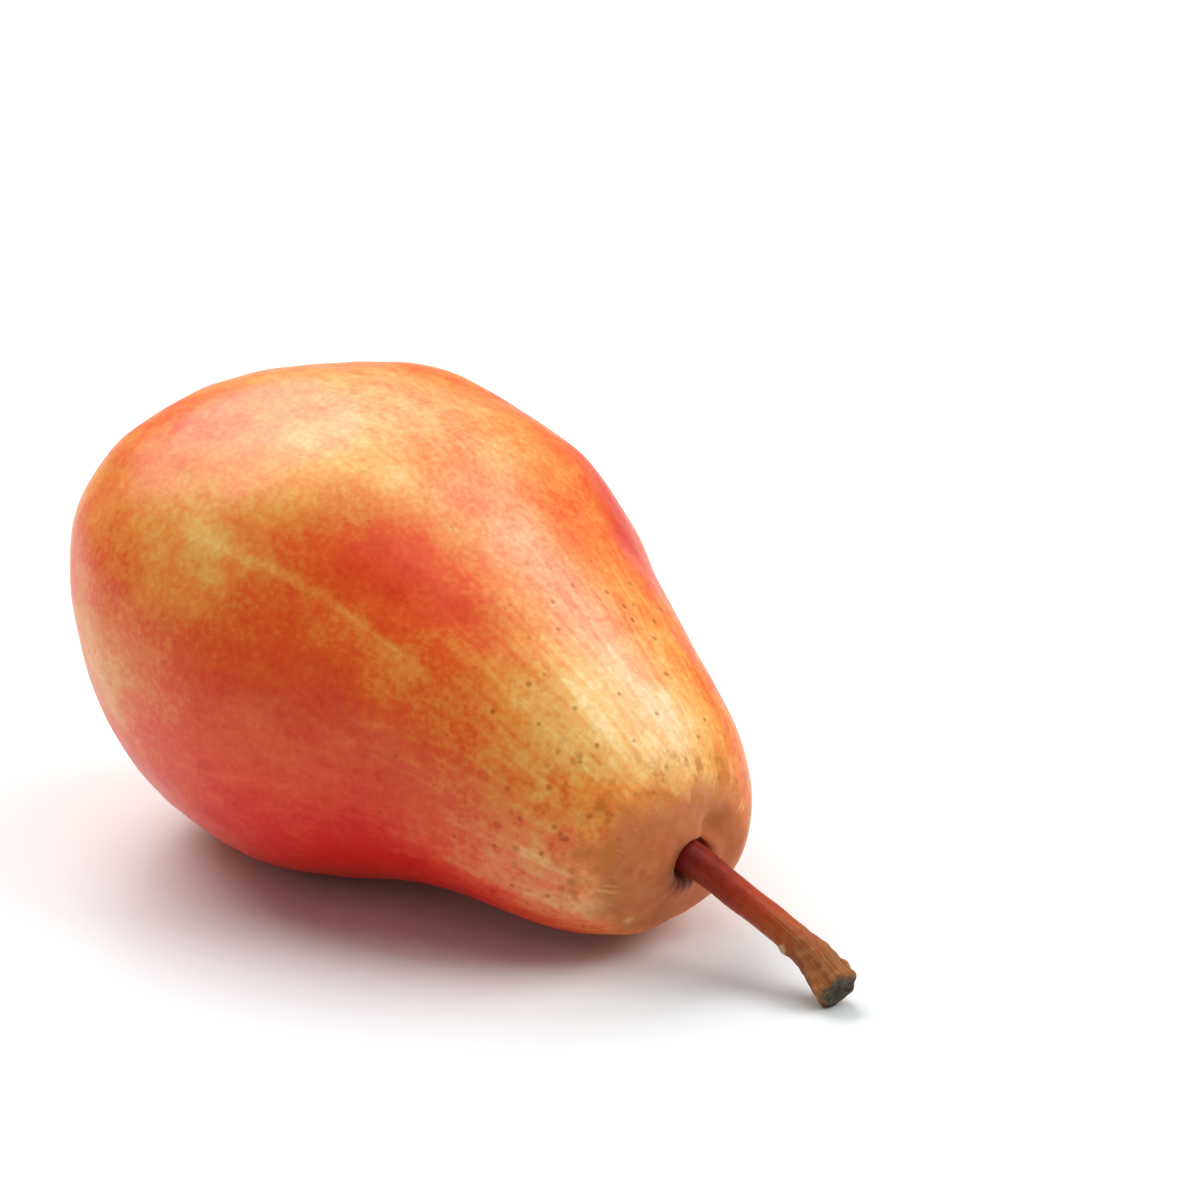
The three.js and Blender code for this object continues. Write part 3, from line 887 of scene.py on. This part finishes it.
def sepal_points(turn, draw):
    """One dried sepal: a flattened, curling tongue that stands in the basin."""
    along, angle, closing = spun_strand(SEPAL_ROWS, SEPAL_COLUMNS)
    taper = 1 - SEPAL_TAPER["share"] * along ** SEPAL_TAPER["curve"]
    across = np.cos(angle)
    aside = SEPAL_WIDTH / 2 * taper * closing * across
    thickness = SEPAL_THICKNESS * (1 - SEPAL_TIP_THINNING * along)
    tip_lean = SEPAL_LEAN["tip"] + draw.uniform(*SEPAL_LEAN["more"])
    lean = np.radians(SEPAL_LEAN["root"] + (tip_lean - SEPAL_LEAN["root"]) * along)
    cup = SEPAL_CUP * across**2 * (1 - along)
    curl = draw.uniform(*SEPAL_CURL) * along**3 * across
    folds = np.sin(across * SEPAL_WRINKLES["across"] + draw.uniform(*SEPAL_WRINKLES["start"]))
    wrinkle = SEPAL_WRINKLES["height"] * folds * np.sin(math.pi * along)
    layer = thickness / 2 * np.sin(angle) * closing + wrinkle + curl
    rise = SEPAL_LENGTH * along * np.cos(lean) - SEPAL_ROOT["depth"] - layer * np.sin(lean)
    out = SEPAL_ROOT["radius"] + SEPAL_LENGTH * along * np.sin(lean)
    return round_calyx(rise, out - cup + layer * np.cos(lean), aside, turn), along


def stamen_points(turn, draw):
    """A dried thread with a small knob at its end."""
    along, angle, closing = spun_strand(STAMEN_ROWS, STAMEN_COLUMNS)
    knob = STAMEN_KNOB["height"] * bell(along - STAMEN_KNOB["along"], STAMEN_KNOB["length"])
    radius = (STAMEN_RADIUS * (1 - STAMEN_TAPER * along) + knob) * closing
    lean = draw.uniform(*STAMEN_LEAN)
    length = STAMEN_LENGTH * draw.uniform(*STAMEN_LENGTH_SHARE) * along
    sway = STAMEN_SWAY * draw.uniform(-1, 1) * along**2
    outward = length * (math.sin(lean) + STAMEN_BEND * along)
    away = CALYX_RADIUS * STAMEN_RING_SHARE + outward + radius * np.sin(angle)
    depth = radius * np.sin(angle) * STAMEN_DEPTH_SHARE
    rise = CALYX_HEIGHT / 2 + length * math.cos(lean) + depth
    return round_calyx(rise, away, sway + radius * np.cos(angle), turn), along


def core_points():
    """The dry disc that the sepals and stamens grow from, rough and sunk in the middle."""
    row, angle = spun(CORE_ROWS, CORE_COLUMNS)
    share = row / (CORE_ROWS + 1)
    outline = smooth_curve(CORE_PROFILE, CORE_PROFILE_POINTS)
    places = np.linspace(0, 1, CORE_PROFILE_POINTS)
    rise = np.interp(share, places, outline[:, 0])
    away = np.interp(share, places, outline[:, 1])
    away[[0, -1]] = 0
    turn = np.radians(angle)
    folds = np.cos(CORE_FURROWS["count"] * turn + CORE_FURROWS["start"])
    points = round_calyx(rise, away * (1 + CORE_FURROWS["height"] * folds), 0, turn)
    bumps = CORE_ROUGHNESS["height"] * ripple(points, CORE_ROUGHNESS["size"], SEED)
    return points + bumps[:, None], np.zeros(len(row))


# Calyx colours, from its root to its tips
CALYX_TONES = (
    (0.0, "#1f140d"), (0.3, "#3b2818"), (0.6, "#5f4327"), (0.85, "#86643c"), (1.0, "#a58a5c"),
)
CALYX_ROUGHNESS = 0.85
CALYX_RELIEF_DEPTH = 0.2


def calyx_material():
    shader = Shader("pear_calyx")
    place = shader.place()
    along = shader.number("along")
    grain = shader.noise(place, size=0.6, detail=4, amount=0.9)
    blotches = shader.noise(place, size=2, detail=2, amount=0.6)
    tone = shader.sum(0.35, shader.math("MULTIPLY", along, 0.35), grain, blotches)
    return shader.finish(
        base_color=shader.colours(tone, CALYX_TONES),
        roughness=CALYX_ROUGHNESS,
        normal=shader.bump(shader.sum(grain, blotches), CALYX_RELIEF_DEPTH),
    )


def calyx_piece(shift):
    draw = np.random.default_rng(SEED)
    forms = [(*core_points(), CORE_ROWS, CORE_COLUMNS)]
    for i in range(SEPALS):
        turn = 2 * math.pi * (i + SEPAL_UNEVENNESS * math.sin(3 * i)) / SEPALS
        forms.append((*sepal_points(turn, draw), SEPAL_ROWS, SEPAL_COLUMNS))
    for i in range(STAMENS):
        turn = 2 * math.pi * (i + draw.uniform(*STAMEN_TURN)) / STAMENS
        forms.append((*stamen_points(turn, draw), STAMEN_ROWS, STAMEN_COLUMNS))
    points = np.vstack([form[0] for form in forms]) + shift
    along = np.concatenate([form[1] for form in forms])
    faces = []
    start = 0
    for form_points, _, rows, columns in forms:
        faces += [tuple(start + corner for corner in face) for face in spin_faces(rows, columns)]
        start += len(form_points)
    piece = mesh_piece("pear_calyx", points, faces, calyx_material(), {"along": along})
    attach(piece, "root")
    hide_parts("calyx")


def floor_material():
    shader = Shader("white_floor")
    return shader.finish(base_color=hex_colour(FLOOR_COLOUR), roughness=FLOOR_ROUGHNESS)


def stage():
    half = FLOOR_HALF_SIZE
    corners = [(-half, -half, 0), (half, -half, 0), (half, half, 0), (-half, half, 0)]
    floor = mesh_piece("floor", corners, [(0, 1, 2, 3)], floor_material())


def softbox(name, elevation, turn, width, height, power):
    light = bpy.data.lights.new(name, "AREA")
    light.shape = "RECTANGLE"
    light.size = width
    light.size_y = height
    light.energy = power
    rise = math.radians(elevation)
    heading = math.radians(AWAY_FROM_CAMERA - turn)
    level = math.cos(rise)
    towards = Vector((math.cos(heading) * level, math.sin(heading) * level, math.sin(rise)))
    lamp = bpy.data.objects.new(name, light)
    lamp.location = Vector(SOFTBOX_TARGET) + towards * SOFTBOX_DISTANCE
    lamp.rotation_euler = (-towards).to_track_quat("-Z", "Y").to_euler()
    bpy.context.scene.collection.objects.link(lamp)


def lights():
    for name, setting in SOFTBOXES.items():
        softbox(name, *setting)
    world = bpy.data.worlds.new("studio")
    world.use_nodes = True
    background = world.node_tree.nodes["Background"]
    background.inputs["Color"].default_value = (1, 1, 1, 1)
    background.inputs["Strength"].default_value = WORLD_STRENGTH
    bpy.context.scene.world = world
    bpy.context.scene.view_settings.view_transform = "Standard"


def camera():
    lens = bpy.data.cameras.new("camera")
    lens.lens = CAMERA_LENS
    lens.sensor_width = CAMERA_SENSOR
    made = bpy.data.objects.new("camera", lens)
    made.location = CAMERA_PLACE
    direction = Vector(CAMERA_TARGET) - Vector(CAMERA_PLACE)
    made.rotation_euler = direction.to_track_quat("-Z", "Y").to_euler()
    bpy.context.scene.collection.objects.link(made)
    bpy.context.scene.camera = made


camera()
lights()
stage()
fruit_shift = fruit_piece()
stem_piece(fruit_shift)
calyx_piece(fruit_shift)
